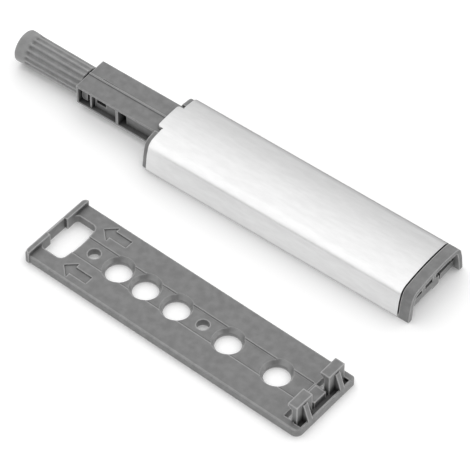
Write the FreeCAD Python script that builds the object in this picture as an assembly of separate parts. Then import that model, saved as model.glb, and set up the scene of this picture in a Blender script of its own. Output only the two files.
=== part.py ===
import FreeCAD
import Part
import math
import os

# Push-to-open cupboard catch latch with its screw-on mounting plate, in millimetres.
# +X is the way the plunger comes out, +Z is up, and y = 0 is the latch's middle plane.
# The origin is on the underside, half way along the latch body.

V = FreeCAD.Vector

# Sleeve: an aluminium arch open underneath
arch_half_width = 10.4
leg_height = 2.6
leg_lean = 0.3
brow_inset = 0.95
brow_height = 5.9
brow_bulge = 0.1
shoulder_inset = 3.1
shoulder_height = 8.2
shoulder_bulge = 0.55
crown_rise = 0.6
sleeve_wall = 0.85
sleeve_seam = 0.4
tongue_reach = 1.45
tongue_half_width = 3.85
tongue_radius = 0.7
relief_radius = 0.15

# Moulded body under the sleeve
body_length = 76.1
body_lip = 1.52
lip_inset = 0.4
lip_step = 0.28
flange_length = 2.85
flange_wall = 1.25
seat_gap = 0.05
body_wall = 1.1
rear_cavity_depth = 5.0
rear_wall = 2.4
coring_pockets = 6
coring_rib = 1.4
coring_roof = 1.6
coring_wall = 1.0
coring_bottom_wall = 1.2

# Cross bar that the plate's hooks catch
bar_depth = 1.5
bar_setback = 1.5
bar_bottom = 0.8
bar_height = 1.9
bar_web_half = 2.6
tab_near = -0.95
tab_far = -3.25
tab_drop = 0.65
slit_width = 0.55
post_places = (2.7, -1.35)
post_half_width = 0.6

# Plunger
plunger_half_width = 5.05
plunger_bottom = 2.0
plunger_top = 7.55
plunger_out = 23.2
plunger_inside = 26.1
plunger_stroke = 21.5
plunger_clearance = 0.08
plunger_bevel = 0.1
web_half = 3.7
flange_thickness = 0.45
front_wall = 0.5
front_pocket_length = 11.2
pocket_divider = 0.65
rear_pocket_length = 11.9
crest_half_width = 0.25
crest_height = 0.2
crest_length = 25.0
crest_groove = 0.35
crest_groove_length = 6.2
crest_groove_setback = 3.7

# Cut-outs, pad and rib in the front pockets, set back from the pocket's front end
deep_half = 2.3
nose_half = 2.9
pad_setback = 0.3
pad_length = 1.65
pad_half = 3.9
pad_bottom = 3.05
pad_radius = 0.7
rib_setback = 3.25
rib_width = 0.45
rib_half = 4.6
rib_gap = 0.3
slot_setback = 4.5
slot_length = 2.8
slot_bottom = 3.95
slot_top = 6.35
rear_gap = 1.5

# Adjusting screw through the plunger's nose
axis_height = 4.4
screw_radius = 1.75
screw_clearance = 0.05
screw_inside = 4.6
screw_grip = 12.0
screw_run_out = 5.2

# Ribbed tip with a magnet in its face
tip_gap = 0.4
tip_length = 19.3
tip_root_radius = 3.78
tip_radius = 3.95
tip_head_length = 2.9
tip_head_radius = 4.08
tip_edge = 0.35
groove_count = 16
groove_radius = 0.34
groove_depth = 0.26
magnet_radius = 2.55
magnet_length = 2.0

# Return spring and its seats
spring_wire_radius = 0.3
spring_coil_radius = 2.1
spring_turns = 12
spring_steps = 10
spring_sides = 6
spring_seat_clearance = 0.2
peg_length = 3.5
spring_bay_half_width = 3.1
bay_length = 19.5
end_gap = 1.0

# Push-push track under the plunger and the wire that follows it
follower_radius = 0.45
follower_x = 14.6
follower_run = 26.0
follower_reach = 1.25
track_depth = 1.55
track_clearance = 0.25
track_length = 22.8
track_lane = 2.9
track_end_slope = 4.0
follower_foot = 0.3
follower_sink = 0.2
follower_corner = 0.8

# Mounting plate and where it lies beside the latch
plate_length = 79.0
plate_width = 20.12
plate_thickness = 2.28
plate_x = 1.1
plate_y = 39.7
plate_turn = -2.275
plate_near_radius = 1.8
plate_far_radius = 0.8
plate_front_radius = 1.15
plate_nose = 0.4
plate_edge = 0.2
lip_height = 1.1
lip_thickness = 1.2
lip_flare = 0.25
lip_notch_half_width = 2.9
lip_notch_wall = 0.45
window_length = 6.65
window_half_width = 6.2
window_radius = 1.0
window_rear_radius = 1.6
window_bow = 0.55
strip_half_width = 3.0
strip_depth = 0.25
strip_rear = 5.8
hole_radius = 3.15
hole_countersink_radius = 3.9
hole_straight = 1.03
small_hole_radius = 1.52
hole_pitch = 32.0
wide_pitch = 38.0
first_hole = 19.05
second_hole = 27.0
middle_hole = 36.1
first_small_hole = 11.8

# Hooks at the plate's rear end
hook_inner = 2.9
hook_length = 5.3
hook_height = 5.1
hook_post = 1.45
hook_setback = 1.75
hook_overhang = 1.1
hook_head = 0.75
hook_opening = 2.1
gusset_width = 1.4
trench_depth = 0.9
trench_rim = 0.55
trench_inset = 1.6
block_half_width = 2.0
block_length = 3.0
block_rise = 1.0
block_setback = 1.9

# Engraved arrows beside the window
arrow_tip_setback = 8.8
arrow_offset = 6.85
arrow_head = 2.6
arrow_half_width = 2.4
shaft_half_width = 1.15
arrow_length = 7.4
arrow_depth = 0.28

# Places that follow from the sizes above
body_rear = -body_length / 2
body_front = body_length / 2
sleeve_rear = body_rear + flange_length + sleeve_seam
sleeve_front = body_front - body_lip
lip_front = body_front - lip_step
plunger_face = body_front + plunger_out
plunger_tail = body_front - plunger_inside
channel_floor = plunger_bottom - plunger_clearance
channel_half = plunger_half_width + plunger_clearance
channel_rear = plunger_tail - plunger_stroke - end_gap
bay_rear = channel_rear - bay_length
plunger_middle = (plunger_bottom + plunger_top) / 2
pocket_floor = plunger_bottom + flange_thickness
pocket_roof = plunger_top - flange_thickness
front_pocket_end = plunger_face - front_wall
front_pocket_start = front_pocket_end - front_pocket_length
rear_pocket_end = front_pocket_start - pocket_divider
rear_pocket_start = rear_pocket_end - rear_pocket_length
tip_root = plunger_face + tip_gap
tip_face = tip_root + tip_length
ribs_end = tip_face - tip_head_length
magnet_back = tip_face - magnet_length
screw_end = plunger_face - screw_inside
plate_front = plate_length / 2
plate_rear = -plate_length / 2
lip_back = plate_front - lip_thickness
window_front = lip_back
window_rear = window_front - window_length


def box(x0, x1, y0, y1, z0, z1):
    """A block between two opposite corners."""
    return Part.makeBox(x1 - x0, y1 - y0, z1 - z0, V(x0, y0, z0))


def rod(radius, x0, x1, y=0.0, z=0.0):
    """A round bar along X."""
    return Part.makeCylinder(radius, x1 - x0, V(x0, y, z), V(1, 0, 0))


def outline(points):
    """A flat face from its corners."""
    return Part.Face(Part.makePolygon([V(*p) for p in points + points[:1]]))


def plan_prism(corners, z0, z1):
    """A corner list in the XY plane, raised from z0 to z1."""
    return outline([(x, y, z0) for x, y in corners]).extrude(V(0, 0, z1 - z0))


def side_prism(corners, y0, y1):
    """A corner list in the XZ plane, drawn out from y0 to y1."""
    return outline([(x, y0, z) for x, z in corners]).extrude(V(0, y1 - y0, 0))


def mirrored(shape):
    """The same shape on the other side of the middle plane."""
    return shape.mirror(V(0, 0, 0), V(0, 1, 0))


def edges_along(shape, axis, keep):
    """Straight edges that run along one axis and whose middle passes the test."""
    found = []
    for edge in shape.Edges:
        if not isinstance(edge.Curve, Part.Line):
            continue
        start = edge.Vertexes[0].Point
        end = edge.Vertexes[-1].Point
        way = (end - start).normalize()
        if abs(way.dot(axis)) > 0.999 and keep((start + end) * 0.5):
            found.append(edge)
    return found


def bulged(start, end, bulge):
    """An arc between two points of the YZ plane that swells to the left of its way."""
    way = end - start
    normal = V(0, way.z, -way.y).normalize()
    middle = (start + end) * 0.5 + normal * bulge
    return Part.Arc(start, middle, end).toShape()


def arch_prism(inset, x0, x1):
    """The sleeve's outline shrunk by an inset, along X and closed at z = 0."""
    below = V(0, arch_half_width, -body_wall * 4)
    foot = V(0, arch_half_width, 0)
    knee = V(0, arch_half_width - leg_lean, leg_height)
    brow = V(0, arch_half_width - brow_inset, brow_height)
    shoulder = V(0, arch_half_width - shoulder_inset, shoulder_height)
    near = [below, foot, knee, brow, shoulder]
    far = [V(0, -p.y, p.z) for p in near]
    edges = [
        Part.makeLine(near[0], near[1]),
        Part.makeLine(near[1], near[2]),
        bulged(near[2], near[3], brow_bulge),
        bulged(near[3], near[4], shoulder_bulge),
        bulged(near[4], far[4], crown_rise),
        bulged(far[4], far[3], shoulder_bulge),
        bulged(far[3], far[2], brow_bulge),
        Part.makeLine(far[2], far[1]),
        Part.makeLine(far[1], far[0]),
        Part.makeLine(far[0], near[0]),
    ]
    face = Part.Face(Part.Wire(edges))
    if inset:
        face = face.makeOffset2D(-inset)
    face.translate(V(x0, 0, 0))
    solid = face.extrude(V(x1 - x0, 0, 0))
    reach = arch_half_width * 2
    return solid.common(box(x0, x1, -reach, reach, 0, reach))


def make_sleeve():
    """Aluminium arch whose front edge carries a tongue over the plunger."""
    front = sleeve_front + tongue_reach
    arch = arch_prism(0, sleeve_rear, front)
    arch = arch.cut(arch_prism(sleeve_wall, sleeve_rear - 1, front + 1))
    reach = arch_half_width * 2
    tongue = box(sleeve_front, front, -tongue_half_width, tongue_half_width, 0, reach)
    corners = edges_along(tongue, V(0, 0, 1), lambda p: p.x > sleeve_front + tongue_reach / 2)
    tongue = tongue.makeFillet(tongue_radius, corners)
    keep = box(sleeve_rear, sleeve_front, -reach, reach, 0, reach).fuse(tongue)
    arch = arch.common(keep)
    for side in (-1, 1):
        at = V(sleeve_front, side * (tongue_half_width + relief_radius), leg_height)
        arch = arch.cut(Part.makeCylinder(relief_radius, reach, at, V(0, 0, 1)))
    return arch


def coring():
    """Blind pockets under one side of the body that keep its walls even."""
    start = body_rear + rear_cavity_depth + rear_wall
    stop = body_front - body_lip - coring_rib
    pitch = (stop - start) / coring_pockets
    inner = channel_half + coring_wall
    outer = arch_half_width - sleeve_wall - seat_gap - leg_lean - coring_bottom_wall
    roof = brow_height - coring_roof
    pockets = []
    for i in range(coring_pockets):
        x0 = start + i * pitch
        pockets.append(box(x0, x0 + pitch - coring_rib, inner, outer, -1, roof))
    return Part.makeCompound(pockets)


def make_body():
    """Moulded body: trough for the plunger, rear flange and the bar for the hooks."""
    reach = arch_half_width * 2
    flange_front = body_rear + flange_length
    inset = sleeve_wall + seat_gap
    body = arch_prism(0, body_rear, flange_front)
    body = body.fuse(arch_prism(inset, flange_front, body_front))
    body = body.fuse(arch_prism(lip_inset, sleeve_front + seat_gap * 2, lip_front))
    body = body.cut(box(channel_rear, body_front + 1, -channel_half, channel_half,
                        channel_floor, reach))
    body = body.cut(box(bay_rear, channel_rear, -spring_bay_half_width,
                        spring_bay_half_width, channel_floor, reach))
    cavity_front = body_rear + rear_cavity_depth
    cavity = arch_prism(flange_wall, body_rear - 1, flange_front - body_wall)
    cavity = cavity.fuse(arch_prism(inset + body_wall, body_rear - 1, cavity_front))
    body = body.cut(cavity)
    pockets = coring()
    body = body.cut(pockets).cut(mirrored(pockets))
    body = body.cut(follower_slot())
    return body.fuse(hook_bar()).removeSplitter()


def hook_bar():
    """Cross bar inside the rear flange, with a lowered tab, a slit and posts to the roof."""
    x0 = body_rear + bar_setback
    x1 = x0 + bar_depth
    top = bar_bottom + bar_height
    reach = arch_half_width
    bar = box(x0, x1, -reach, reach, bar_bottom, top)
    tab = box(x0, x1, tab_far, tab_near, bar_bottom - tab_drop, top)
    web = box(x1, body_rear + rear_cavity_depth, -bar_web_half, bar_web_half,
              bar_bottom, bar_bottom + bar_height / 2)
    parts = [tab, web]
    for y in post_places:
        parts.append(box(x0, x1, y - post_half_width, y + post_half_width, bar_bottom, reach))
    slit = box(x0 - 1, x1, tab_far - slit_width, tab_far, 0, top + 1)
    inside = arch_prism(sleeve_wall + seat_gap, x0, body_rear + rear_cavity_depth)
    return bar.fuse(parts).common(inside).cut(slit)


def follower_line():
    """Height of the wire's middle line where it lies in its groove."""
    return channel_floor - follower_radius - follower_sink


def follower_slot():
    """Groove in the trough's floor for the wire, with a hole for its foot."""
    low = follower_line() - follower_radius - seat_gap
    wide = follower_radius + track_clearance
    rear = follower_x - follower_run
    groove = box(rear - wide, follower_x + wide, -wide, wide, low, channel_floor + 1)
    depth = follower_foot + seat_gap * 2
    hole = Part.makeCylinder(follower_radius + seat_gap, depth, V(rear, 0, low - depth))
    return groove.fuse(hole)


def make_follower():
    """Bent wire: a foot across the trough's floor and an end that stands in the track."""
    line_z = follower_line()
    rear = follower_x - follower_run
    corner = follower_radius * follower_corner
    run = rod(follower_radius, rear - corner, follower_x + corner, 0, line_z)
    height = plunger_bottom + follower_reach - line_z
    stand = Part.makeCylinder(follower_radius, height, V(follower_x, 0, line_z), V(0, 0, 1))
    length = follower_radius + seat_gap + follower_foot
    foot = Part.makeCylinder(follower_radius, length, V(rear, 0, line_z), V(0, 0, -1))
    return run.fuse([stand, foot]).removeSplitter()


def track():
    """Loop under the plunger: a straight lane, and a second lane round a heart island."""
    half = follower_radius + track_clearance
    x0 = follower_x - half
    x1 = x0 + track_length
    top = plunger_bottom + track_depth
    loop = plan_prism([(x0, -half), (x1, -half), (x1, half), (x1 - half * 2, track_lane + half),
                       (x0 + track_end_slope, track_lane + half), (x0, half)],
                      plunger_bottom - 1, top)
    i0 = x0 + track_end_slope
    i1 = x1 - half * 3
    inner = track_lane - half
    notch = half * 1.5
    island = plan_prism([(i0, half), (i1, half), (i1 - half, inner), (i0 + notch * 3, inner),
                         (i0 + notch * 2, inner - half), (i0 + notch, inner)],
                        plunger_bottom - 1, top)
    return loop.cut(island)


def side_pockets():
    """Pockets in the plunger's near side, with a pad, a rib and deeper cut-outs in front."""
    outer = plunger_half_width + 1
    roof = pocket_roof
    pockets = box(front_pocket_start, front_pocket_end, web_half, outer, pocket_floor, roof)
    rib_front = front_pocket_end - rib_setback
    rib_rear = rib_front - rib_width
    pad_front = front_pocket_end - pad_setback
    slot_front = front_pocket_end - slot_setback
    pockets = pockets.fuse([
        box(rear_pocket_start, rear_pocket_end, web_half, outer, pocket_floor, roof),
        box(rib_front, front_pocket_end, nose_half, outer, pocket_floor, roof),
        box(rib_rear - rib_gap, rib_rear, deep_half, outer, pocket_floor, roof),
        box(slot_front - slot_length, slot_front, deep_half, outer, slot_bottom, slot_top),
        box(rear_pocket_end - rear_gap, rear_pocket_end, deep_half, outer, pocket_floor, roof),
    ])
    pad = box(pad_front - pad_length, pad_front, deep_half, pad_half, pad_bottom, roof + 1)
    corner = edges_along(pad, V(0, 1, 0), lambda p: p.x > pad_front - 0.01 and p.z < roof)
    pad = pad.makeFillet(pad_radius, corner)
    rib = box(rib_rear, rib_front, deep_half, rib_half, 0, roof + 1)
    return pockets.cut([pad, rib])


def crest_groove_cutter():
    """Groove that runs out to the rear along the far side of the crest."""
    front = plunger_face - crest_groove_setback
    rear = front - crest_groove_length
    profile = [(front, plunger_top - crest_height), (front, plunger_top + 1),
               (rear, plunger_top + 1), (rear, plunger_top)]
    return side_prism(profile, -crest_half_width - crest_groove, -crest_half_width)


def make_plunger():
    """Sliding bar, I-shaped where its side pockets are, with the screw's bore in its nose."""
    bar = box(plunger_tail, plunger_face, -plunger_half_width, plunger_half_width,
              plunger_bottom, plunger_top)
    bar = bar.makeChamfer(plunger_bevel, edges_along(bar, V(1, 0, 0), lambda p: True))
    pockets = side_pockets()
    bore = rod(screw_radius + screw_clearance, screw_end - screw_run_out, plunger_face + 1,
               0, axis_height)
    bar = bar.cut([pockets, mirrored(pockets), bore, track(), crest_groove_cutter()])
    crest = box(plunger_face - crest_length, plunger_face, -crest_half_width,
                crest_half_width, plunger_top - crest_height, plunger_top + crest_height)
    peg = rod(peg_radius(), plunger_tail - peg_length, plunger_tail, 0, plunger_middle)
    return bar.fuse([crest, peg]).removeSplitter()


def peg_radius():
    """Radius of the peg that centres the spring."""
    return spring_coil_radius - spring_wire_radius - spring_seat_clearance


def make_spring():
    """Compression spring between the plunger's tail and the end of its bay."""
    start = bay_rear + spring_wire_radius
    stop = plunger_tail - spring_wire_radius
    steps = spring_turns * spring_steps
    path = []
    for i in range(steps + 1):
        turn = 2 * math.pi * i / spring_steps
        path.append(V(start + (stop - start) * i / steps, spring_coil_radius * math.cos(turn),
                      plunger_middle + spring_coil_radius * math.sin(turn)))
    ring = []
    for i in range(spring_sides + 1):
        turn = 2 * math.pi * i / spring_sides
        reach = spring_wire_radius * math.cos(turn)
        ring.append(path[0] + V(spring_wire_radius * math.sin(turn), reach, 0))
    spine = Part.makePolygon(path)
    return spine.makePipeShell([Part.makePolygon(ring)], True, True, 1)


def make_tip():
    """Ribbed sleeve that opens into a smooth flared head, with a seat for the magnet."""
    head_start = ribs_end
    profile = [
        (tip_root, 0), (tip_root, tip_root_radius), (head_start, tip_radius),
        (tip_face - tip_edge, tip_head_radius), (tip_face, tip_head_radius - tip_edge),
        (tip_face, 0),
    ]
    face = outline([(x, 0, r) for x, r in profile])
    tip = face.revolve(V(0, 0, 0), V(1, 0, 0), 360)
    slope = math.degrees(math.atan((tip_radius - tip_root_radius) / (head_start - tip_root)))
    cutters = []
    for i in range(groove_count):
        centre = tip_root_radius + groove_radius - groove_depth
        cutter = rod(groove_radius, tip_root - 1, head_start, 0, centre)
        cutter.rotate(V(tip_root, 0, centre), V(0, 1, 0), -slope)
        cutter.rotate(V(0, 0, 0), V(1, 0, 0), (i + 0.5) * 360 / groove_count)
        cutters.append(cutter)
    tip = tip.cut(cutters)
    tip = tip.cut(rod(magnet_radius + screw_clearance, magnet_back, tip_face + 1))
    tip = tip.cut(rod(screw_radius + screw_clearance, tip_root - 1, tip_root + screw_grip))
    tip.translate(V(0, 0, axis_height))
    return tip


def make_screw():
    """Adjusting screw moulded into the tip and threaded through the plunger's nose."""
    return rod(screw_radius, screw_end, tip_root + screw_grip, 0, axis_height)


def make_magnet():
    """Round magnet, flush with the tip's face."""
    return rod(magnet_radius, magnet_back, tip_face, 0, axis_height)


def screw_holes():
    """Countersunk holes and plain small holes along the plate's middle line."""
    cutters = []
    first = plate_front - first_hole
    second = plate_front - second_hole
    middle = plate_front - middle_hole
    for x in (first, first - hole_pitch, second, second - wide_pitch, middle):
        straight = Part.makeCylinder(hole_radius, plate_thickness + 2, V(x, 0, -1))
        flare = Part.makeCone(hole_radius, hole_countersink_radius,
                              plate_thickness - hole_straight, V(x, 0, hole_straight))
        cap = Part.makeCylinder(hole_countersink_radius, 1, V(x, 0, plate_thickness))
        cutters += [straight, flare, cap]
    small = plate_front - first_small_hole
    for x in (small, small - hole_pitch):
        cutters.append(Part.makeCylinder(small_hole_radius, plate_thickness + 2, V(x, 0, -1)))
    return cutters


def plate_blank():
    """Plate with rounded corners, softened long edges and a slightly wider lip behind its nose."""
    half = plate_width / 2
    reach = half + lip_flare
    blank = box(plate_rear, plate_front, -half, half, 0, plate_thickness)
    near = edges_along(blank, V(0, 0, 1), lambda p: p.x < 0 and p.y > 0)
    blank = blank.makeFillet(plate_near_radius, near)
    far = edges_along(blank, V(0, 0, 1), lambda p: p.x < 0 and p.y < 0)
    blank = blank.makeFillet(plate_far_radius, far)
    rims = edges_along(blank, V(1, 0, 0),
                       lambda p: abs(p.z - plate_thickness) < 0.01 and abs(p.y) > half - 0.01)
    blank = blank.makeChamfer(plate_edge, rims)
    foot = plate_thickness / 2
    lip = box(lip_back, plate_front, -reach, reach, foot, plate_thickness + lip_height)
    nose = box(lip_back, plate_front + plate_nose, -reach, reach, 0, plate_thickness)
    fronts = []
    for piece in (lip, nose):
        corners = edges_along(piece, V(0, 0, 1), lambda p: p.x > lip_back + lip_thickness / 2)
        fronts.append(piece.makeFillet(plate_front_radius, corners))
    front = box(lip_back + plate_edge, plate_front + 1, -reach, reach, -1, plate_thickness + 1)
    return blank.cut(front).fuse(fronts)


def window():
    """Window behind the lip, bowed at its rear, with a notch in the lip's back."""
    top = plate_thickness + lip_height + 1
    corner_x = window_rear + window_bow
    points = [V(window_front, -window_half_width, -1), V(window_front, window_half_width, -1),
              V(corner_x, window_half_width, -1), V(corner_x, -window_half_width, -1)]
    edges = [Part.makeLine(points[0], points[1]),
             Part.makeLine(points[1], points[2]),
             Part.Arc(points[2], V(window_rear, 0, -1), points[3]).toShape(),
             Part.makeLine(points[3], points[0])]
    hole = Part.Face(Part.Wire(edges)).extrude(V(0, 0, top + 1))
    middle = (window_front + window_rear) / 2
    rear = edges_along(hole, V(0, 0, 1), lambda p: p.x < middle)
    hole = hole.makeFillet(window_rear_radius, rear)
    front = edges_along(hole, V(0, 0, 1),
                        lambda p: p.x > window_front - 0.01 and abs(p.y) > window_radius)
    hole = hole.makeFillet(window_radius, front)
    notch = box(window_front - window_radius, plate_front - lip_notch_wall,
                -lip_notch_half_width, lip_notch_half_width, -1, top)
    return [hole, notch]


def arrow(side):
    """One arrow-shaped recess that points to the lip."""
    tip = plate_front - arrow_tip_setback
    barb = tip - arrow_head
    rear = tip - arrow_length
    y = side * arrow_offset
    corners = [(tip, y), (barb, y + arrow_half_width), (barb, y + shaft_half_width),
               (rear, y + shaft_half_width), (rear, y - shaft_half_width),
               (barb, y - shaft_half_width), (barb, y - arrow_half_width)]
    return plan_prism(corners, plate_thickness - arrow_depth, plate_thickness + 1)


def hook(side):
    """A post with an overhanging head, braced from behind."""
    x1 = plate_rear + hook_setback + hook_post
    x0 = plate_rear + hook_setback
    top = plate_thickness + hook_height
    floor = plate_thickness - trench_depth
    profile = [(x0, floor), (x1, floor), (x1, top - hook_head * 2),
               (x1 + hook_overhang, top - hook_head), (x1 + hook_overhang, top), (x0, top)]
    inner = hook_inner
    outer = hook_inner + hook_length
    head = side_prism(profile, inner, outer)
    middle = (inner + outer) / 2
    brace = side_prism([(x0, floor), (x0, top - hook_head), (x0 - 0.3, top - hook_head),
                        (plate_rear, plate_thickness), (plate_rear, floor)],
                       middle - gusset_width / 2, middle + gusset_width / 2)
    shape = head.fuse(brace)
    return shape if side > 0 else mirrored(shape)


def make_plate():
    """Mounting plate with its screw holes, window, arrows and the two rear hooks."""
    plate = plate_blank()
    half = plate_width / 2
    floor = plate_thickness - trench_depth
    trench_front = plate_rear + hook_setback + hook_post / 2
    trench = box(plate_rear + trench_rim, trench_front, -half + trench_inset,
                 half - trench_inset, floor, plate_thickness + 1)
    strip_start = plate_rear + strip_rear
    strip = box(strip_start, window_rear + window_bow, -strip_half_width, strip_half_width,
                plate_thickness - strip_depth, plate_thickness + 1)
    plate = plate.cut([trench, strip] + window() + screw_holes() + [arrow(1), arrow(-1)])
    open_rear = plate_rear + hook_setback + hook_post
    opening = box(open_rear, open_rear + hook_opening, hook_inner,
                  hook_inner + hook_length, -1, plate_thickness + 1)
    plate = plate.cut([opening, mirrored(opening)])
    block_rear = plate_rear + block_setback
    block = box(block_rear, block_rear + block_length, -block_half_width, block_half_width,
                floor, plate_thickness + block_rise)
    plate = plate.fuse([hook(1), hook(-1), block]).removeSplitter()
    plate.rotate(V(0, 0, 0), V(0, 0, 1), plate_turn)
    plate.translate(V(plate_x, plate_y, 0))
    return plate


def main():
    """Write one file for each separate piece."""
    os.makedirs("parts", exist_ok=True)
    pieces = {
        "sleeve": make_sleeve(),
        "latch_body": make_body(),
        "plunger": make_plunger(),
        "return_spring": make_spring(),
        "track_wire": make_follower(),
        "adjusting_screw": make_screw(),
        "ribbed_tip": make_tip(),
        "tip_magnet": make_magnet(),
        "mounting_plate": make_plate(),
    }
    for name, shape in pieces.items():
        shape.exportStep("parts/" + name + ".step")


main()
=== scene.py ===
"""Dresses the cupboard catch latch: finishes, fine surfaces, studio and camera.

Everything is in metres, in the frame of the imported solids: +X is the way the
plunger comes out, +Z is up and the floor is at z = 0.
"""

import logging
import math
from dataclasses import dataclass, field
from enum import Enum
from typing import Any, Callable

import bpy
import numpy as np
from mathutils import Matrix, Vector

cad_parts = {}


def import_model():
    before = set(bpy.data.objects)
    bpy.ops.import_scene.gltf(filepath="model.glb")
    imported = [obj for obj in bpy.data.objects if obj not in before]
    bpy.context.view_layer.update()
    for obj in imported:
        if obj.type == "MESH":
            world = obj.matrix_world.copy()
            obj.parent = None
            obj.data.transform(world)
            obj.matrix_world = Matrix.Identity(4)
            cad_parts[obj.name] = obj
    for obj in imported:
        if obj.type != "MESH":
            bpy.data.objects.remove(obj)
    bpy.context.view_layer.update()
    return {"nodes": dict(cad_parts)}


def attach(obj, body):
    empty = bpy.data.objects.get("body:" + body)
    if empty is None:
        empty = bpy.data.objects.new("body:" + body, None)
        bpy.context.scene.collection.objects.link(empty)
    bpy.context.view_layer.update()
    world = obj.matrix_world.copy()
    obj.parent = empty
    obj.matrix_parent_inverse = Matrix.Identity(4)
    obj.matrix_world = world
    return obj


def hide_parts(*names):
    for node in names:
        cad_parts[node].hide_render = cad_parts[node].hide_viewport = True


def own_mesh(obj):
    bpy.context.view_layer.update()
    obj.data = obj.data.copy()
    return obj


LOG = logging.getLogger("catch_latch")
MM = 0.001
POINT_RADIUS = 0.001 * MM
WHITE = (1.0, 1.0, 1.0, 1.0)
FULL_TURN = 2.0 * math.pi
Colour = tuple[float, float, float, float]


class Body(Enum):
    """The rigid bodies that the new pieces ride on."""

    LATCH = "latch"
    TIP = "tip"


class Ring(Enum):
    """Whether a grid of points closes on itself along a direction."""

    OPEN = 0
    CLOSED = 1


def linear(level: float) -> float:
    """Turns a display level from 0 to 1 into a linear one, by the standard display curve."""
    toe, slope, lift, power = 0.04045, 12.92, 0.055, 2.4
    return level / slope if level <= toe else ((level + lift) / (1.0 + lift)) ** power


def grey(level: float) -> Colour:
    """A linear grey with alpha from a display level from 0 to 1."""
    value = linear(level)
    return value, value, value, 1.0


def surface_mesh(name: str, points: np.ndarray, across: Ring, along: Ring) -> bpy.types.Object:
    """Makes a mesh from a grid of points.

    Args:
        name: The piece's name.
        points: Array of shape (rows, columns, 3) in metres.
        across: Whether the columns close into a ring.
        along: Whether the rows close into a ring.

    Returns:
        The new object, at the origin.
    """
    rows, columns, _ = points.shape
    row_count = rows if along is Ring.CLOSED else rows - 1
    column_count = columns if across is Ring.CLOSED else columns - 1
    i, j = np.meshgrid(np.arange(row_count), np.arange(column_count), indexing="ij")
    i_next, j_next = (i + 1) % rows, (j + 1) % columns
    faces = np.stack(
        [i * columns + j, i * columns + j_next, i_next * columns + j_next, i_next * columns + j],
        axis=-1,
    ).reshape(-1, 4)
    mesh = bpy.data.meshes.new(name)
    mesh.from_pydata(points.reshape(-1, 3).tolist(), [], faces.tolist())
    mesh.polygons.foreach_set("use_smooth", np.ones(len(mesh.polygons), dtype=bool))
    mesh.update()
    piece = bpy.data.objects.new(name, mesh)
    bpy.context.scene.collection.objects.link(piece)
    return piece


def revolved(section: np.ndarray, radius_at: Callable[[np.ndarray, np.ndarray], np.ndarray],
             steps: int, axis_height: float) -> np.ndarray:
    """Carries a section round the X axis: point (x, r) goes to (x, r cos t, r sin t).

    Args:
        section: Array (n, 2) of x and radius, in metres.
        radius_at: Gives the radius from the section's row number and the angle.
        steps: Points round the axis.
        axis_height: Height of the axis over the floor.

    Returns:
        Grid of shape (n, steps, 3).
    """
    turn = np.linspace(0.0, FULL_TURN, steps, endpoint=False)
    rows = np.arange(len(section))[:, None]
    radius = radius_at(rows, turn[None, :])
    x = np.broadcast_to(section[:, :1], radius.shape)
    return np.stack([x, radius * np.cos(turn), axis_height + radius * np.sin(turn)], axis=-1)


@dataclass(frozen=True)
class Pattern:
    """Noise over a piece's own coordinates: how fine it is, and which range of it counts."""

    scale: float
    detail: float
    low: float = 0.3
    high: float = 0.7
    stretch: tuple[float, float, float] = (1.0, 1.0, 1.0)


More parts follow.
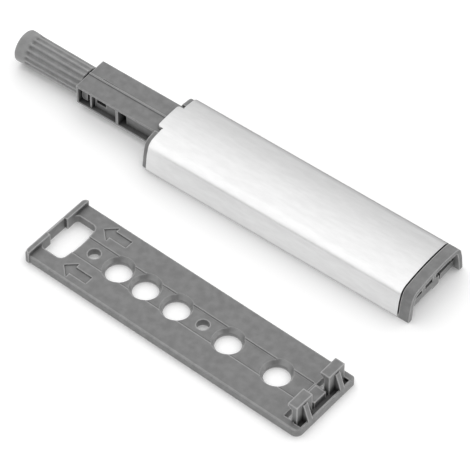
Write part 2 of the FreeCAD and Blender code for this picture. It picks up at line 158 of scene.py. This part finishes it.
class Graph:
    """A material's node tree, with short calls to add and join nodes."""

    FIRST_COLOUR = 6
    SECOND_COLOUR = 7
    MIXED_COLOUR = 2
    OPENNESS_RAYS = 8
    ROUNDING_RAYS = 6
    EDGE_START = 0.9
    EDGE_FULL = 0.58

    def __init__(self, name: str) -> None:
        """Starts an empty material with one shader and its output.

        Args:
            name: The material's name.
        """
        self.material = bpy.data.materials.new(name)
        self.material.use_nodes = True
        self.tree = self.material.node_tree
        self.tree.nodes.clear()
        output = self.add("ShaderNodeOutputMaterial")
        self.shader = self.add("ShaderNodeBsdfPrincipled")
        self.join(self.shader, "BSDF", output, "Surface")

    def add(self, kind: str, **values: Any) -> bpy.types.Node:
        """Adds a node and sets its own properties.

        Args:
            kind: The node's type.
            values: Properties by name.

        Returns:
            The new node.
        """
        node = self.tree.nodes.new(kind)
        for key, value in values.items():
            setattr(node, key, value)
        return node

    def join(self, source: bpy.types.Node, output: str | int, target: bpy.types.Node,
             socket: str | int) -> None:
        """Joins an output to an input."""
        self.tree.links.new(source.outputs[output], target.inputs[socket])

    def put(self, node: bpy.types.Node, **values: Any) -> bpy.types.Node:
        """Sets input sockets by name, with underscores for spaces.

        Args:
            node: The node to set.
            values: Socket values by name.

        Returns:
            The same node.
        """
        for key, value in values.items():
            node.inputs[key.replace("_", " ")].default_value = value
        return node

    def noise(self, pattern: Pattern) -> bpy.types.Node:
        """Adds a pattern's noise, stretched along the object's own axes.

        Args:
            pattern: The pattern.

        Returns:
            The node, whose Fac output is the noise.
        """
        place = self.add("ShaderNodeTexCoord")
        mapping = self.put(self.add("ShaderNodeMapping"), Scale=pattern.stretch)
        noise = self.put(self.add("ShaderNodeTexNoise"), Scale=pattern.scale,
                         Detail=pattern.detail)
        self.join(place, "Object", mapping, "Vector")
        self.join(mapping, "Vector", noise, "Vector")
        return noise

    def spread(self, source: bpy.types.Node, output: str | int, low: float, high: float,
               to_low: float, to_high: float) -> bpy.types.Node:
        """Carries a value from one range to another and clamps it.

        Args:
            source: The node that gives the value.
            output: Its output.
            low: Value that becomes to_low.
            high: Value that becomes to_high.
            to_low: New value at low.
            to_high: New value at high.

        Returns:
            The node, whose Result output is the new value.
        """
        node = self.add("ShaderNodeMapRange")
        for key, value in (("From Min", low), ("From Max", high),
                           ("To Min", to_low), ("To Max", to_high)):
            node.inputs[key].default_value = value
        self.join(source, output, node, "Value")
        return node

    def blend(self, amount: bpy.types.Node, output: str | int, first: Colour,
              second: Colour) -> bpy.types.Node:
        """Mixes two fixed colours by a value.

        Args:
            amount: The node that gives the value.
            output: Its output.
            first: Colour at 0.
            second: Colour at 1.

        Returns:
            The node with the mixed colour.
        """
        mix = self.add("ShaderNodeMix", data_type="RGBA")
        mix.inputs[self.FIRST_COLOUR].default_value = first
        mix.inputs[self.SECOND_COLOUR].default_value = second
        self.join(amount, output, mix, 0)
        return mix

    def scaled(self, colour: bpy.types.Node, output: int, ray: str,
               share: float) -> bpy.types.Node:
        """Scales a colour to a share of itself for one kind of ray.

        Args:
            colour: The node that gives the colour.
            output: Its output.
            ray: The Light Path output of that kind of ray.
            share: The share of the colour that stays for it.

        Returns:
            The node with the scaled colour.
        """
        path = self.add("ShaderNodeLightPath")
        return self.shaded(colour, output, self.spread(path, ray, 0.0, 1.0, 1.0, share))

    def shaded(self, colour: bpy.types.Node, output: int,
               share: bpy.types.Node) -> bpy.types.Node:
        """Multiplies a colour by a share.

        Args:
            colour: The node that gives the colour.
            output: Its output.
            share: The node whose first output is the share.

        Returns:
            The node with the new colour.
        """
        scale = self.add("ShaderNodeVectorMath", operation="SCALE")
        self.join(colour, output, scale, "Vector")
        self.join(share, 0, scale, "Scale")
        return scale

    def near(self, source: bpy.types.Node, output: str, value: float,
             margin: float) -> bpy.types.Node:
        """Gives 1 where an output lies within a margin of a value, and 0 elsewhere.

        Args:
            source: The node that gives the output.
            output: The output's name.
            value: The value looked for.
            margin: How far from it still counts.

        Returns:
            The node with 1 or 0.
        """
        node = self.add("ShaderNodeMath", operation="COMPARE")
        node.inputs[1].default_value = value
        node.inputs[2].default_value = margin
        self.join(source, output, node, 0)
        return node

    def product(self, first: bpy.types.Node, second: bpy.types.Node) -> bpy.types.Node:
        """Multiplies the first outputs of two nodes.

        Args:
            first: One node.
            second: The other.

        Returns:
            The node with the product.
        """
        node = self.add("ShaderNodeMath", operation="MULTIPLY")
        self.join(first, 0, node, 0)
        self.join(second, 0, node, 1)
        return node

    def openness(self, reach: float, own: bool = False) -> bpy.types.Node:
        """How open a place is within a reach: 1 on a plain face, less in corners and grooves.

        Args:
            reach: How far other surfaces count.
            own: Whether only the piece's own surfaces count.

        Returns:
            The node, whose AO output is the openness.
        """
        node = self.add("ShaderNodeAmbientOcclusion", samples=self.OPENNESS_RAYS, only_local=own)
        return self.put(node, Distance=reach)

    def outer_edges(self, reach: float) -> bpy.types.Node:
        """Mask of outer edges, sharp or rounded: where rays that look inward soon leave the piece.

        Args:
            reach: How far inward the rays look.

        Returns:
            A node whose first output is near 1 on outer edges and 0 elsewhere.
        """
        inward = self.openness(reach, True)
        inward.inside = True
        return self.spread(inward, "AO", self.EDGE_START, self.EDGE_FULL, 0.0, 1.0)

    def relief(self, height: bpy.types.Node, distance: float, strength: float,
               radius: float) -> None:
        """Bump from a noise, over edges that are softened by a small radius.

        Args:
            height: The noise.
            distance: How high the bumps stand, in metres.
            strength: How much of them shows, from 0 to 1.
            radius: Radius of the softened edges, in metres.
        """
        rounded = self.put(self.add("ShaderNodeBevel", samples=self.ROUNDING_RAYS), Radius=radius)
        bump = self.put(self.add("ShaderNodeBump"), Strength=strength, Distance=distance)
        self.join(height, "Fac", bump, "Height")
        self.join(rounded, "Normal", bump, "Normal")
        self.join(bump, "Normal", self.shader, "Normal")


@dataclass(frozen=True)
class PaintedLightLine:
    """Painted line of shade or highlight along a shallow step or a long edge of a turned piece."""

    origin: tuple[float, float, float]
    turn: float
    offset: float
    height: float
    half_width: float
    half_height: float
    share: float

    def shade(self, graph: Graph) -> bpy.types.Node:
        """Share of the colour: 1 off the line, less on a line of painted shade and more on a line
        of painted highlight.

        The place is carried into the piece's own turned axes. The line is where the
        distance across from its offset and the distance from its height are both small.

        Args:
            graph: The material's node tree.

        Returns:
            The node, whose first output is the share.
        """
        place = graph.add("ShaderNodeTexCoord")
        turned = graph.put(graph.add("ShaderNodeMapping", vector_type="TEXTURE"),
                           Location=self.origin, Rotation=(0.0, 0.0, self.turn))
        graph.join(place, "Object", turned, "Vector")
        split = graph.add("ShaderNodeSeparateXYZ")
        graph.join(turned, "Vector", split, "Vector")
        across = graph.near(split, "Y", self.offset, self.half_width)
        level = graph.near(split, "Z", self.height, self.half_height)
        return graph.spread(graph.product(across, level), 0, 0.0, 1.0, 1.0, self.share)


@dataclass(frozen=True)
class FlareSheen:
    """Painted sheen on the countersinks: paler sides where a steep wall faces along or across the
    piece.
    """

    upward: float = 0.51
    margin: float = 0.1
    lobe_start: float = 0.7
    lobe_full: float = 0.85
    gain: float = 1.7

    def shade(self, graph: Graph) -> bpy.types.Node:
        """Share of the colour: 1 off the flares and on their diagonals, more towards an axis, as a
        painted highlight.

        The flare is known by the upward part of its normal. The share grows with the larger
        of the two level parts of that normal.

        Args:
            graph: The material's node tree.

        Returns:
            The node, whose first output is the share.
        """
        place = graph.add("ShaderNodeTexCoord")
        split = graph.add("ShaderNodeSeparateXYZ")
        graph.join(place, "Normal", split, "Vector")
        flare = graph.near(split, "Z", self.upward, self.margin)
        larger = graph.add("ShaderNodeMath", operation="MAXIMUM")
        for index, axis in enumerate("XY"):
            part = graph.add("ShaderNodeMath", operation="ABSOLUTE")
            graph.join(split, axis, part, 0)
            graph.join(part, 0, larger, index)
        lobe = graph.spread(larger, 0, self.lobe_start, self.lobe_full, 0.0, 1.0)
        return graph.spread(graph.product(flare, lobe), 0, 0.0, 1.0, 1.0, self.gain)


@dataclass(frozen=True)
class Finish:
    """What each finish has: a clouded grey, a roughness that wanders and a fine relief."""

    name: str
    level: float
    level_dip: float
    level_rise: float
    roughness: float
    rough_dip: float
    rough_rise: float
    cloud: Pattern
    grain: Pattern
    bump_height: float
    bump_strength: float
    edge_radius: float

    def tone(self, graph: Graph) -> bpy.types.Node:
        """Grey that wanders between a darker and a paler level.

        Args:
            graph: The material's node tree.

        Returns:
            The node with the colour.
        """
        amount = graph.spread(graph.noise(self.cloud), "Fac", self.cloud.low, self.cloud.high,
                              0.0, 1.0)
        return graph.blend(amount, "Result", grey(self.level - self.level_dip),
                           grey(self.level + self.level_rise))

    def surface(self, graph: Graph) -> None:
        """Adds roughness and relief, both from the fine pattern.

        Args:
            graph: The material's node tree.
        """
        grain = graph.noise(self.grain)
        rough = graph.spread(grain, "Fac", self.grain.low, self.grain.high,
                             self.roughness - self.rough_dip, self.roughness + self.rough_rise)
        graph.join(rough, "Result", graph.shader, "Roughness")
        graph.relief(grain, self.bump_height, self.bump_strength, self.edge_radius)


@dataclass(frozen=True)
class MouldedPlastic(Finish):
    """Matt grey plastic with a fine spark-eroded grain, a painted highlight on outer edges, and
    painted shade in creases and fine lines.
    """

    name: str = "moulded_grey_plastic"
    level: float = 0.486
    level_dip: float = 0.024
    level_rise: float = 0.024
    roughness: float = 0.46
    rough_dip: float = 0.05
    rough_rise: float = 0.06
    cloud: Pattern = Pattern(520.0, 5.0, 0.35, 0.65)
    grain: Pattern = Pattern(1.0 / (0.12 * MM), 2.0)
    bump_height: float = 0.02 * MM
    bump_strength: float = 0.25
    edge_radius: float = 0.36 * MM
    # Painted highlight on outer edges, and painted shade in creases and in fine lines, both from
    # how open each place is.
    edge_highlight_level: float = 0.716
    edge_highlight_reach: float = 0.32 * MM
    crease_shade_share: float = 0.2
    crease_shade_reach: float = 2.6 * MM
    crease_shade_range: tuple[float, float] = (0.25, 0.92)
    line_shade_share: float = 0.58
    line_shade_reach: float = 0.6 * MM
    line_shade_range: tuple[float, float] = (0.4, 0.85)
    refraction: float = 1.49
    # Marks of painted shade or highlight laid over the colour.
    painted_light_marks: tuple[PaintedLightLine | FlareSheen, ...] = ()

    def make(self) -> bpy.types.Material:
        """Builds the material.

        The colour is the clouded grey times the share left by painted shade in creases and in fine
        lines and by the painted shade or highlight of each mark, and goes over to the level of a
        painted highlight on outer edges.

        Returns:
            The material.
        """
        graph = Graph(self.name)
        # Painted shade in creases and in fine lines.
        crease_shade = graph.spread(graph.openness(self.crease_shade_reach, True), "AO",
                               *self.crease_shade_range, self.crease_shade_share, 1.0)
        line_shade = graph.spread(graph.openness(self.line_shade_reach), "AO",
                             *self.line_shade_range, self.line_shade_share, 1.0)
        share = graph.product(crease_shade, line_shade)
        # Painted shade or highlight of each mark.
        for painted_mark in self.painted_light_marks:
            share = graph.product(share, painted_mark.shade(graph))
        shaded = graph.shaded(self.tone(graph), graph.MIXED_COLOUR, share)
        # Painted highlight: the colour goes over to a paler level on outer edges.
        edge_highlighted = graph.add("ShaderNodeMix", data_type="RGBA")
        edge_highlighted.inputs[graph.SECOND_COLOUR].default_value = grey(self.edge_highlight_level)
        graph.join(graph.outer_edges(self.edge_highlight_reach), 0, edge_highlighted, 0)
        graph.join(shaded, 0, edge_highlighted, graph.FIRST_COLOUR)
        graph.join(edge_highlighted, graph.MIXED_COLOUR, graph.shader, "Base Color")
        self.surface(graph)
        graph.put(graph.shader, IOR=self.refraction)
        return graph.material


@dataclass(frozen=True)
class SatinAluminium(Finish):
    """Anodised aluminium with fine drawing lines and painted shade at its foot, that throws little
    light on what is near.
    """

    name: str = "satin_anodised_aluminium"
    level: float = 0.938
    level_dip: float = 0.011
    level_rise: float = 0.011
    roughness: float = 0.38
    rough_dip: float = 0.05
    rough_rise: float = 0.07
    cloud: Pattern = Pattern(900.0, 6.0, 0.35, 0.65, (0.3, 1.0, 1.0))
    grain: Pattern = Pattern(2600.0, 4.0, stretch=(0.03, 1.0, 1.0))
    bump_height: float = 0.006 * MM
    bump_strength: float = 0.35
    edge_radius: float = 0.15 * MM
    cast_share: float = 0.05
    # Painted shade at the foot of the sleeve, from how open the place is.
    foot_shade_share: float = 0.6
    foot_shade_reach: float = 0.7 * MM
    foot_shade_range: tuple[float, float] = (0.5, 0.95)

    def make(self) -> bpy.types.Material:
        """Builds the material.

        The colour is the clouded grey, less for spread rays, and less at the foot, a painted shade
        where the sleeve stands on the floor.

        Returns:
            The material.
        """
        graph = Graph(self.name)
        # Painted shade at the foot, where the sleeve stands on the floor.
        foot_shade = graph.spread(graph.openness(self.foot_shade_reach), "AO", *self.foot_shade_range,
                            self.foot_shade_share, 1.0)
        cast = graph.scaled(self.tone(graph), graph.MIXED_COLOUR, "Is Diffuse Ray",
                            self.cast_share)
        graph.join(graph.shaded(cast, 0, foot_shade), 0, graph.shader, "Base Color")
        self.surface(graph)
        graph.put(graph.shader, Metallic=1.0)
        return graph.material


@dataclass(frozen=True)
class PlatedSteel(Finish):
    """Zinc or nickel plated steel with a light clouding."""

    name: str = "plated_steel"
    level: float = 0.74
    level_dip: float = 0.05
    level_rise: float = 0.03
    roughness: float = 0.28
    rough_dip: float = 0.06
    rough_rise: float = 0.1
    cloud: Pattern = Pattern(420.0, 5.0)
    grain: Pattern = Pattern(420.0, 5.0)
    bump_height: float = 0.004 * MM
    bump_strength: float = 0.3
    edge_radius: float = 0.05 * MM

    def make(self) -> bpy.types.Material:
        """Builds the material from the clouded grey.

        Returns:
            The material.
        """
        graph = Graph(self.name)
        graph.join(self.tone(graph), graph.MIXED_COLOUR, graph.shader, "Base Color")
        self.surface(graph)
        graph.put(graph.shader, Metallic=1.0)
        return graph.material


PLATE_PLACE = (1.10 * MM, 39.70 * MM, 0.0)
PLATE_TURN = math.radians(-2.275)


def plate_light_line(offset: float, height: float, half_width: float, half_height: float,
               share: float) -> PaintedLightLine:
    """A line of painted shade or highlight along the mounting plate, in its own axes and in
    millimetres.
    """
    return PaintedLightLine(PLATE_PLACE, PLATE_TURN, offset * MM, height * MM, half_width * MM,
                      half_height * MM, share)


# Painted shade at the foot of the near strip edge, painted highlights along the far strip step and
# the near long edge, and a painted sheen on the countersinks.
NEAR_STRIP_FOOT_SHADE = plate_light_line(2.82, 2.03, 0.18, 0.06, 0.72)
FAR_STRIP_STEP_HIGHLIGHT = plate_light_line(-2.9, 2.16, 0.22, 0.14, 1.5)
NEAR_LONG_EDGE_HIGHLIGHT = plate_light_line(9.85, 2.2, 0.24, 0.12, 1.38)
PLATE_PAINTED_LIGHT = (NEAR_STRIP_FOOT_SHADE, FAR_STRIP_STEP_HIGHLIGHT, NEAR_LONG_EDGE_HIGHLIGHT, FlareSheen())


@dataclass
class Finishes:
    """The finishes of the whole latch, made once."""

    plastic: bpy.types.Material = field(default_factory=lambda: MouldedPlastic().make())
    # Ribbed tip: a paler painted highlight on its edges and deeper painted shade in its grooves.
    ribbed: bpy.types.Material = field(default_factory=lambda: MouldedPlastic(
        "ribbed_grey_plastic", level=0.571, edge_highlight_level=0.803, edge_highlight_reach=0.4 * MM,
        crease_shade_share=0.05, crease_shade_reach=1.3 * MM, line_shade_share=0.4).make())
    # Mounting plate: painted lines of shade and highlight and a painted sheen on the countersinks.
    plate: bpy.types.Material = field(default_factory=lambda: MouldedPlastic(
        "plate_grey_plastic", edge_highlight_reach=0.45 * MM, painted_light_marks=PLATE_PAINTED_LIGHT).make())
    aluminium: bpy.types.Material = field(default_factory=lambda: SatinAluminium().make())
    steel: bpy.types.Material = field(default_factory=lambda: PlatedSteel().make())
    nickel: bpy.types.Material = field(default_factory=lambda: PlatedSteel(
        "nickel_plate", level=0.8, roughness=0.2).make())


def wear(piece: bpy.types.Object, material: bpy.types.Material) -> None:
    """Gives a piece one material in every slot."""
    piece.data.materials.clear()
    piece.data.materials.append(material)


@dataclass
class PlungerTip:
    """Ribbed tip with its magnet seat, and the screw that adjusts it."""

    axis_height: float = 4.4 * MM
    root: float = 61.65 * MM
    length: float = 19.3 * MM
    root_radius: float = 3.78 * MM
    rib_radius: float = 3.95 * MM
    head_length: float = 2.9 * MM
    head_radius: float = 4.08 * MM
    edge: float = 0.35 * MM
    rib_count: int = 16
    groove_depth: float = 0.38 * MM
    groove_share: float = 0.62
    groove_points: int = 14
    barrel_rows: int = 40
    flare_rows: int = 7
    edge_rows: int = 6
    run_out: float = 1.0 / 34.0
    pit_length: float = 0.08
    pit_extra: float = 0.6
    root_chamfer: float = 0.12 * MM
    seat_chamfer: float = 0.1 * MM
    core_radius: float = 1.0 * MM
    bore_radius: float = 1.8 * MM
    seat_radius: float = 2.6 * MM
    seat_depth: float = 2.0 * MM
    screw_start: float = 56.65 * MM
    screw_end: float = 73.65 * MM
    screw_radius: float = 1.75 * MM
    thread_depth: float = 0.26 * MM
    thread_pitch: float = 1.0 * MM
    thread_rows: int = 14
    thread_points: int = 40
    thread_flank: float = 2.6
    thread_land: float = 0.15

    def section(self) -> tuple[np.ndarray, np.ndarray]:
        """The tip's closed section and how deep the grooves are at each of its points.

        The barrel widens evenly to the ribs' end, the flare by a quarter sine, and the edge
        is a quarter circle. The grooves deepen to a pit and then run out in a straight line.

        Returns:
            Array (n, 2) of x and radius, and array (n,) of groove weight: 1 is the full
            depth, and the pit just before the flare goes deeper.
        """
        face = self.root + self.length
        ribs_end = face - self.head_length
        along = np.linspace(0.0, 1.0, self.barrel_rows)
        barrel_start = self.root + self.root_chamfer
        barrel_x = barrel_start + (ribs_end - barrel_start) * along
        barrel_r = self.root_radius + (self.rib_radius - self.root_radius) * along
        barrel_w = np.clip((1.0 - along) / self.run_out, 0.0, 1.0)
        barrel_w *= 1.0 + self.pit_extra * np.clip(1.0 - (1.0 - along) / self.pit_length, 0.0, 1.0)
        turn = np.linspace(0.0, np.pi / 2, self.edge_rows + 1)[1:]
        flare = np.linspace(0.0, 1.0, self.flare_rows + 1)[1:]
        head_x = ribs_end + (face - self.edge - ribs_end) * flare
        head_r = self.rib_radius + (self.head_radius - self.rib_radius) * np.sin(flare * np.pi / 2)
        nose_x = face - self.edge + self.edge * np.sin(turn)
        nose_r = self.head_radius - self.edge + self.edge * np.cos(turn)
        seat_x = [face, face - self.seat_chamfer, face - self.seat_depth, face - self.seat_depth]
        seat_r = [self.seat_radius + self.seat_chamfer, self.seat_radius, self.seat_radius,
                  self.core_radius]
        bore_x = [self.screw_end, self.screw_end, self.root, self.root]
        bore_r = [self.core_radius, self.bore_radius, self.bore_radius,
                  self.root_radius - self.root_chamfer]
        x = np.concatenate([barrel_x, head_x, nose_x, seat_x, bore_x])
        r = np.concatenate([barrel_r, head_r, nose_r, seat_r, bore_r])
        weight = np.zeros(len(x))
        weight[: len(barrel_w)] = barrel_w
        weight[-1] = 1.0
        return np.stack([x, r], axis=-1), weight

    def build(self, finishes: Finishes) -> None:
        """Makes the ribbed tip and its screw.

        Args:
            finishes: The materials.
        """
        section, weight = self.section()

        def ribbed(rows: np.ndarray, turn: np.ndarray) -> np.ndarray:
            """Radius less a groove: a half ellipse over the groove's share of each rib pitch.

            Args:
                rows: Row numbers of the section.
                turn: Angles round the axis.

            Returns:
                The radius at each row and angle.
            """
            pitch_place = np.mod(turn * self.rib_count / FULL_TURN, 1.0)
            across = (pitch_place - 0.5) / (self.groove_share / 2)
            notch = np.sqrt(np.clip(1.0 - across ** 2, 0.0, 1.0))
            return section[rows, 1] - self.groove_depth * weight[rows] * notch

        grid = revolved(section, ribbed, self.rib_count * self.groove_points, self.axis_height)
        tip = surface_mesh("tip_ribbed_sleeve", grid, Ring.CLOSED, Ring.CLOSED)
        wear(tip, finishes.ribbed)
        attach(tip, Body.TIP.value)
        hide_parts("ribbed_tip")
        screw = self.thread()
        wear(screw, finishes.steel)
        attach(screw, Body.TIP.value)
        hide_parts("adjusting_screw")
        LOG.info("tip: %d and %d faces", len(tip.data.polygons), len(screw.data.polygons))

    def thread(self) -> bpy.types.Object:
        """Threaded screw: the radius falls by a triangle wave of x over the pitch less the turn.

        Returns:
            The screw.
        """
        rows = int((self.screw_end - self.screw_start) / self.thread_pitch * self.thread_rows)
        x = np.linspace(self.screw_start, self.screw_end, rows)
        x = np.concatenate([[x[0]], x, [x[-1]]])
        inside = np.ones(len(x))
        inside[0] = inside[-1] = 0.0

        def radius(row: np.ndarray, turn: np.ndarray) -> np.ndarray:
            """Full radius at the crest, less the thread's depth at the root.

            Args:
                row: Row numbers of the section.
                turn: Angles round the axis.

            Returns:
                The radius at each row and angle.
            """
            phase = np.mod(x[row] / self.thread_pitch - turn / FULL_TURN, 1.0)
            wave = np.clip(np.abs(phase - 0.5) * self.thread_flank - self.thread_land, 0.0, 1.0)
            return (self.screw_radius - self.thread_depth * wave) * inside[row] + POINT_RADIUS

        section = np.stack([x, x], axis=-1)
        grid = revolved(section, radius, self.thread_points, self.axis_height)
        return surface_mesh("threaded_screw", grid, Ring.CLOSED, Ring.OPEN)


@dataclass
class ReturnSpring:
    """Compression spring with closed ends, behind the plunger."""

    start: float = -30.31 * MM
    end: float = 12.0 * MM
    height: float = 4.775 * MM
    coil_radius: float = 2.1 * MM
    wire_radius: float = 0.28 * MM
    turns: float = 15.0
    closed_turns: float = 1.5
    closed_pitch: float = 2.05
    points_a_turn: int = 28
    wire_points: int = 12
    taper_rows: float = 2.0
    taper_end: float = 0.02
    kept: float = 0.49

    def build(self, finishes: Finishes) -> None:
        """Makes the coil: a circle of wire carried along a helix that closes up at both ends.

        Args:
            finishes: The materials.
        """
        count = int(self.turns * self.points_a_turn)
        turn = np.linspace(0.0, self.turns, count)
        closed = self.closed_turns * self.closed_pitch * self.wire_radius
        first, last = self.start + self.wire_radius, self.end - self.wire_radius
        knots = [0.0, self.closed_turns, self.turns - self.closed_turns, self.turns]
        x = np.interp(turn, knots, [first, first + closed, last - closed, last])
        angle = FULL_TURN * turn
        out = np.stack([np.zeros(count), np.cos(angle), np.sin(angle)], axis=-1)
        line = np.stack([x, self.coil_radius * np.cos(angle),
                         self.height + self.coil_radius * np.sin(angle)], axis=-1)
        way = np.gradient(line, axis=0)
        way /= np.linalg.norm(way, axis=1, keepdims=True)
        side = np.cross(way, out)
        ring = np.linspace(0.0, FULL_TURN, self.wire_points, endpoint=False)
        from_end = np.minimum(np.arange(count), count - 1 - np.arange(count))
        taper = np.clip(from_end / self.taper_rows, self.taper_end, 1.0)
        reach = (self.wire_radius * taper)[:, None, None]
        grid = line[:, None, :] + reach * (np.cos(ring)[None, :, None] * out[:, None, :]
                                           + np.sin(ring)[None, :, None] * side[:, None, :])
        spring = surface_mesh("spring_coil", grid, Ring.CLOSED, Ring.OPEN)
        wear(spring, finishes.steel)
        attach(spring, Body.LATCH.value)
        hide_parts("return_spring")
        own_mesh(spring)
        LOG.info("spring: %d faces", len(spring.data.polygons))


@dataclass
class CarriedSolids:
    """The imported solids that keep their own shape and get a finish."""

    nodes: dict[str, bpy.types.Object]

    def dress(self, finishes: Finishes) -> None:
        """Gives each solid its finish.

        Args:
            finishes: The materials.
        """
        choice = {
            "sleeve": finishes.aluminium,
            "latch_body": finishes.plastic,
            "plunger": finishes.plastic,
            "mounting_plate": finishes.plate,
            "track_wire": finishes.steel,
            "tip_magnet": finishes.nickel,
        }
        for name, material in choice.items():
            for slot in self.nodes[name].material_slots:
                slot.material = material
            LOG.info("%s wears %s", name, material.name)


@dataclass(frozen=True)
class Dome:
    """Light from all round that brightens smoothly towards one way."""

    way: tuple[float, float, float]
    start: float
    stop: float
    dim: float
    bright: float

    def strength(self, tree: bpy.types.NodeTree, place: bpy.types.Node) -> bpy.types.NodeSocket:
        """Adds the nodes that turn a direction into a strength.

        Args:
            tree: The world's node tree.
            place: The node that gives the direction.

        Returns:
            The output with the strength.
        """
        facing = tree.nodes.new("ShaderNodeVectorMath")
        facing.operation = "DOT_PRODUCT"
        facing.inputs[1].default_value = Vector(self.way).normalized()
        tree.links.new(place.outputs["Generated"], facing.inputs[0])
        light = tree.nodes.new("ShaderNodeMapRange")
        light.interpolation_type = "SMOOTHSTEP"
        for key, value in (("From Min", self.start), ("From Max", self.stop),
                           ("To Min", self.dim), ("To Max", self.bright)):
            light.inputs[key].default_value = value
        tree.links.new(facing.outputs["Value"], light.inputs["Value"])
        return light.outputs["Result"]


@dataclass
class Studio:
    """Pale floor, light from all round and the camera."""

    azimuth: float = 217.3668
    elevation: float = 49.4257
    roll: float = 0.2706
    distance: float = 0.84524
    target: tuple[float, float, float] = (0.017772, 0.0009, -0.018421)
    lens: float = 277.434
    floor_size: float = 6.0
    floor_level: float = 0.965
    floor_roughness: float = 0.9
    floor_glow: float = 0.05
    # Painted light: the floor's glow for spread rays, that lights the sides of the pieces.
    floor_spread_glow: float = 0.6
    seen_share: float = 1.2
    # Painted contact shadow on the floor near the pieces.
    contact_shadow_level: float = 0.8
    contact_shadow_reach: float = 0.0018
    # Painted reflection of the floor in mirrors, dimmer beyond the sleeve's far side.
    mirrored_share: float = 0.3
    mirrored_glow: float = 0.64
    mirrored_far_glow: float = 0.08
    mirrored_far: float = -12 * MM
    mirrored_near: float = -6 * MM
    sensor_width: float = 36.0
    nearest: float = 0.02
    farthest: float = 20.0
    mirrored_light: Dome = Dome((0.0, 0.6, 0.8), 0.0, 0.5, 0.59, 1.17)
    spread_light: Dome = Dome((0.2, -0.45, 0.87), -0.15, 0.9, 0.233, 1.283)

    def camera(self) -> None:
        """Puts the camera on its sight line, turned by its roll about that line."""
        azimuth, elevation, roll = (math.radians(v) for v in
                                    (self.azimuth, self.elevation, self.roll))
        back = Vector((math.sin(azimuth) * math.cos(elevation),
                       -math.cos(azimuth) * math.cos(elevation), math.sin(elevation)))
        right = Vector((math.cos(azimuth), math.sin(azimuth), 0.0))
        up = back.cross(right)
        rolled = right * math.cos(roll) + up * math.sin(roll)
        raised = up * math.cos(roll) - right * math.sin(roll)
        turn = Matrix((rolled, raised, back)).transposed().to_4x4()
        lens = bpy.data.cameras.new("camera")
        lens.lens = self.lens
        lens.sensor_width = self.sensor_width
        lens.clip_start = self.nearest
        lens.clip_end = self.farthest
        eye = bpy.data.objects.new("camera", lens)
        eye.matrix_world = Matrix.Translation(Vector(self.target) + back * self.distance) @ turn
        bpy.context.scene.collection.objects.link(eye)
        bpy.context.scene.camera = eye

    def floor(self) -> None:
        """Lays a pale floor that keeps the shadow.

        Its colour is darker close to the pieces, a painted contact shadow, brighter to the camera
        and less in mirrors. It glows a little to the camera, more for spread rays, a painted light
        that lights the sides of the pieces, and for mirrored rays, a painted reflection that is
        less beyond the sleeve's far side.
        """
        half = self.floor_size / 2
        corners = np.array([[-half, -half, 0], [half, -half, 0], [half, half, 0], [-half, half, 0]])
        mesh = bpy.data.meshes.new("floor")
        mesh.from_pydata(corners.tolist(), [], [(0, 1, 2, 3)])
        floor = bpy.data.objects.new("floor", mesh)
        bpy.context.scene.collection.objects.link(floor)
        graph = Graph("pale_floor")
        # Painted contact shadow: the floor's colour is darker where the pieces close it in.
        tone = graph.blend(graph.openness(self.contact_shadow_reach), "AO",
                           grey(self.contact_shadow_level), grey(self.floor_level))
        mirrored_tone = graph.scaled(tone, graph.MIXED_COLOUR, "Is Glossy Ray",
                                     self.mirrored_share)
        seen_tone = graph.scaled(mirrored_tone, 0, "Is Camera Ray", self.seen_share)
        graph.join(seen_tone, 0, graph.shader, "Base Color")
        graph.put(graph.shader, Roughness=self.floor_roughness, Specular_IOR_Level=0.0,
                  Emission_Color=WHITE)
        path = graph.add("ShaderNodeLightPath")
        seen = graph.spread(path, "Is Camera Ray", 0.0, 1.0, 0.0, self.floor_glow)
        place = graph.add("ShaderNodeTexCoord")
        split = graph.add("ShaderNodeSeparateXYZ")
        graph.join(place, "Object", split, "Vector")
        # Painted reflection: the floor glows for mirrored rays, less beyond the sleeve's far side.
        mirrored = graph.spread(split, "Y", self.mirrored_far, self.mirrored_near,
                                self.mirrored_far_glow, self.mirrored_glow)
        # Painted light: the floor glows for spread rays, so that it lights the sides of the pieces.
        camera_and_spread_glow = graph.add("ShaderNodeMath", operation="MULTIPLY_ADD")
        camera_and_spread_glow.inputs[1].default_value = self.floor_spread_glow
        graph.join(path, "Is Diffuse Ray", camera_and_spread_glow, 0)
        graph.join(seen, "Result", camera_and_spread_glow, 2)
        glow = graph.add("ShaderNodeMath", operation="MULTIPLY_ADD")
        graph.join(path, "Is Glossy Ray", glow, 0)
        graph.join(mirrored, "Result", glow, 1)
        graph.join(camera_and_spread_glow, 0, glow, 2)
        graph.join(glow, 0, graph.shader, "Emission Strength")
        mesh.materials.append(graph.material)

    def world(self) -> None:
        """One dome for mirrored light, one for spread light, and white towards the camera."""
        world = bpy.data.worlds.new("studio")
        world.use_nodes = True
        tree = world.node_tree
        shade = tree.nodes["Background"]
        shade.inputs["Color"].default_value = WHITE
        place = tree.nodes.new("ShaderNodeTexCoord")
        path = tree.nodes.new("ShaderNodeLightPath")
        strength = self.spread_light.strength(tree, place)
        for ray, light in (("Is Glossy Ray", self.mirrored_light.strength(tree, place)),
                           ("Is Camera Ray", None)):
            choice = tree.nodes.new("ShaderNodeMix")
            choice.inputs["B"].default_value = 1.0
            tree.links.new(path.outputs[ray], choice.inputs["Factor"])
            tree.links.new(strength, choice.inputs["A"])
            if light is not None:
                tree.links.new(light, choice.inputs["B"])
            strength = choice.outputs["Result"]
        tree.links.new(strength, shade.inputs["Strength"])
        bpy.context.scene.world = world

    def build(self) -> None:
        """Sets up floor, light and camera."""
        self.floor()
        self.world()
        self.camera()
        bpy.context.scene.view_settings.view_transform = "Standard"


def main() -> None:
    """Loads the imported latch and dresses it."""
    logging.basicConfig(level=logging.INFO, format="%(name)s: %(message)s")
    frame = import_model()
    finishes = Finishes()
    CarriedSolids(frame["nodes"]).dress(finishes)
    PlungerTip().build(finishes)
    ReturnSpring().build(finishes)
    Studio().build()


if __name__ == "__main__":
    main()
